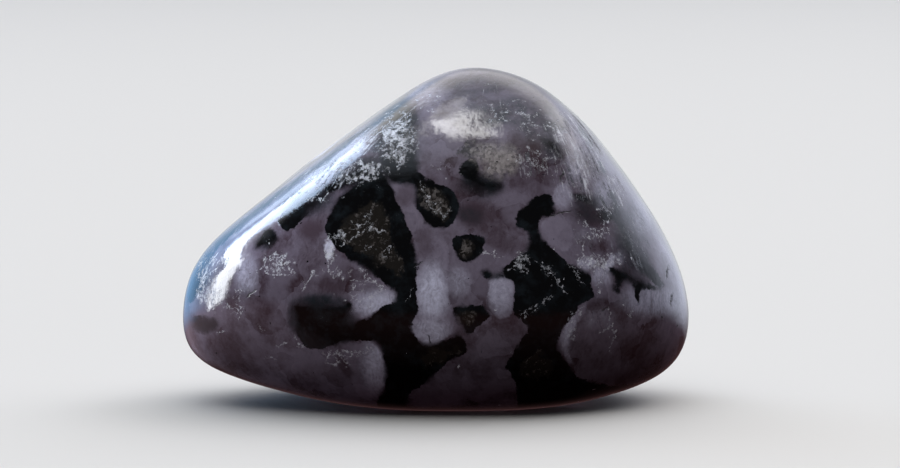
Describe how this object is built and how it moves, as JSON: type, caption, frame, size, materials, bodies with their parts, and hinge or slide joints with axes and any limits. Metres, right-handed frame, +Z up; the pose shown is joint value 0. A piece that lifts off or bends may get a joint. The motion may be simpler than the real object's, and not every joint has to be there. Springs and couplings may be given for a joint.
{
  "type": "tumble-polished gabbro stone",
  "caption": "Rounded triangular pebble of glossy gabbro, lilac-grey feldspar with near-black patches, standing on a small worn flat.",
  "frame": {"origin": "on the resting surface, under the middle of the stone's bounding box", "axes": "+X along the stone's length, towards its steeper end; +Y from its front to its back; +Z up"},
  "size_m": [0.036, 0.0238, 0.0236],
  "materials": {
    "gabbro": "polished"
  },
  "bodies": {
    "root": {"stone": "gabbro"}
  },
  "joints": []
}
